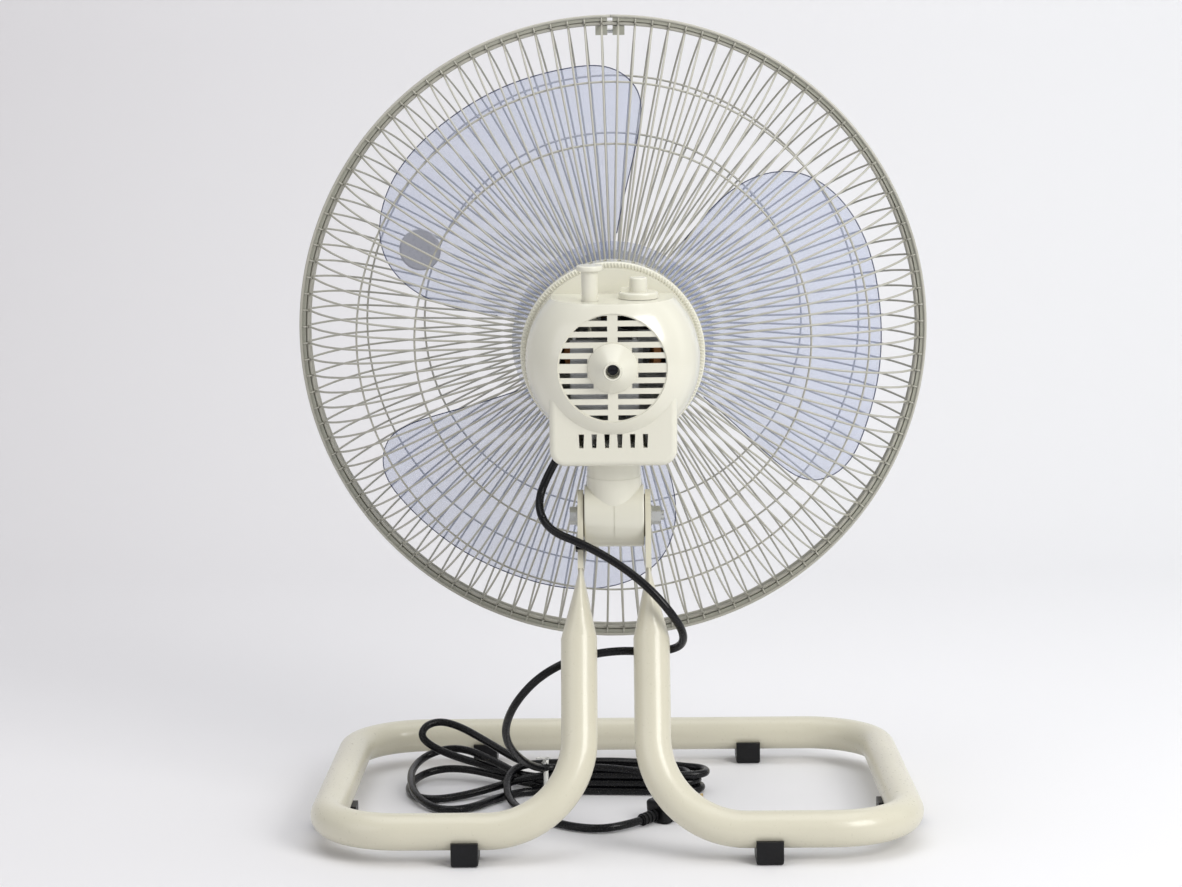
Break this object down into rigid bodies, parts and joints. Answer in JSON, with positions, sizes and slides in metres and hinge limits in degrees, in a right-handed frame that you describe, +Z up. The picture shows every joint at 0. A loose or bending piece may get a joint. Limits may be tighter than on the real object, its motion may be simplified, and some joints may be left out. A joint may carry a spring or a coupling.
{
  "type": "pedestal fan",
  "caption": "Tube-stand electric floor fan with a tilting, oscillating head, clear paddle blades and wire guards.",
  "frame": {"origin": "on the floor under the middle of the stand's floor loop", "axes": "+Z up, the fan blows towards -Y, +X to the left of someone who stands behind the fan and faces the way it blows"},
  "size_m": [0.528, 0.3694, 0.6559],
  "materials": {
    "cream_paint": "satin",
    "cream_plastic": "satin",
    "wire_paint": "satin",
    "rim_paint": "satin",
    "blade_plastic": "clear, pale blue",
    "black_rubber": "matte",
    "black_plastic": "matte",
    "white_plastic": "matte",
    "zinc_steel": "zinc plated",
    "black_steel": "blackened",
    "steel": "ground",
    "core_steel": "laminated",
    "copper_wire": "enamelled winding",
    "bronze": "sintered",
    "cast_alloy": "die cast",
    "fibre": "pressed fibre",
    "badge_plastic": "gloss"
  },
  "bodies": {
    "stand": {"stand_tube": "cream_paint", "stand_feet": "black_rubber", "foot_screws": "zinc_steel", "tilt_bolt": "zinc_steel", "tilt_nut": "zinc_steel", "tilt_washers": "zinc_steel", "friction_washers": "fibre", "edge_clip": "black_plastic", "clip_strap": "zinc_steel", "cord_lower": "black_rubber", "cord_run": "black_rubber", "cord_hank": "black_rubber", "hank_tie": "white_plastic", "cord_tail": "black_rubber", "plug_body": "black_rubber", "plug_pins": "bronze"},
    "knuckle": {"cord_upper": "black_rubber", "tilt_knuckle": "cream_plastic", "swivel_turret": "cream_plastic", "link_stud": "steel", "pivot_post": "steel", "post_sleeve": "steel", "thrust_washer": "steel", "post_screw": "zinc_steel"},
    "head": {"rear_cover": "cream_plastic", "front_cover": "cream_plastic", "cover_screw": "black_steel", "stator_core": "core_steel", "stator_coils": "copper_wire", "front_bracket": "cast_alloy", "rear_bracket": "cast_alloy", "front_bush": "bronze", "rear_bush": "bronze", "bracket_screws": "zinc_steel", "gearbox_case": "cast_alloy", "gearbox_lid": "cast_alloy", "gearbox_screws": "zinc_steel", "switch_body": "black_plastic", "capacitor": "white_plastic", "capacitor_clamp": "zinc_steel", "rear_guard": "wire_paint", "front_guard": "wire_paint", "badge_cap": "badge_plastic", "rim_band": "rim_paint", "rim_screw": "zinc_steel", "rim_nut": "zinc_steel", "guard_nut": "cream_plastic", "guard_seat": "cast_alloy", "strain_relief": "black_rubber"},
    "rotor": {"rotor_core": "core_steel", "rotor_shaft": "steel", "drive_pin": "steel", "blade_set": "blade_plastic", "blade_nut": "cream_plastic"},
    "worm_wheel_body": {"worm_wheel": "white_plastic"},
    "clutch": {"clutch_shaft": "steel"},
    "crank": {"crank_gear": "white_plastic"},
    "link": {"link_arm": "steel"},
    "swing_knob": {"oscillation_knob": "cream_plastic"},
    "dial": {"speed_knob": "cream_plastic"}
  },
  "joints": [
    {"name": "head_tilt", "type": "hinge", "parent": "stand", "child": "knuckle", "pos_m": [0, 0.0572, 0.2534], "axis": [-1, 0, 0], "range_deg": [-20, 60], "deforming": ["cord_lower"]},
    {"name": "head_swing", "type": "hinge", "parent": "knuckle", "child": "head", "pos_m": [0, 0.06034, 0.29328], "axis": [0, 0.0785, 0.9969], "range_deg": [-40, 40], "deforming": ["cord_upper"]},
    {"name": "rotor_spin", "type": "hinge", "parent": "head", "child": "rotor", "pos_m": [0, 0.01737, 0.38463], "axis": [0, 0.9969, -0.0785], "continuous": true},
    {"name": "worm_wheel_spin", "type": "hinge", "parent": "head", "child": "worm_wheel_body", "pos_m": [0.0175, 0.09404, 0.3786], "axis": [0, 0.0785, 0.9969], "continuous": true},
    {"name": "clutch_spin", "type": "hinge", "parent": "head", "child": "clutch", "pos_m": [0.0175, 0.09186, 0.35098], "axis": [0, 0.0785, 0.9969], "range_deg": [-119.6, 119.6]},
    {"name": "crank_turn", "type": "hinge", "parent": "head", "child": "crank", "pos_m": [-0.002, 0.08512, 0.32142], "axis": [0, 0.0785, 0.9969], "range_deg": [-57.6, 57.6]},
    {"name": "link_pivot", "type": "hinge", "parent": "crank", "child": "link", "pos_m": [-0.0105, 0.08402, 0.30746], "axis": [0, 0.0785, 0.9969], "range_deg": [-57.6, 57.6]},
    {"name": "swing_knob_push", "type": "slide", "parent": "head", "child": "swing_knob", "axis": [0, 0.0785, 0.9969], "range_m": [-0.008, 0]},
    {"name": "dial_turn", "type": "hinge", "parent": "head", "child": "dial", "pos_m": [-0.0205, 0.08305, 0.42891], "axis": [0, 0.0785, 0.9969], "range_deg": [0, 135]}
  ],
  "couplings": [
    {"joint": "worm_wheel_spin", "follows": "rotor_spin", "ratio": 0.03125},
    {"joint": "crank_turn", "follows": "head_swing", "ratio": -1.437},
    {"joint": "link_pivot", "follows": "head_swing", "ratio": 1.437},
    {"joint": "clutch_spin", "follows": "head_swing", "ratio": 2.9845}
  ]
}
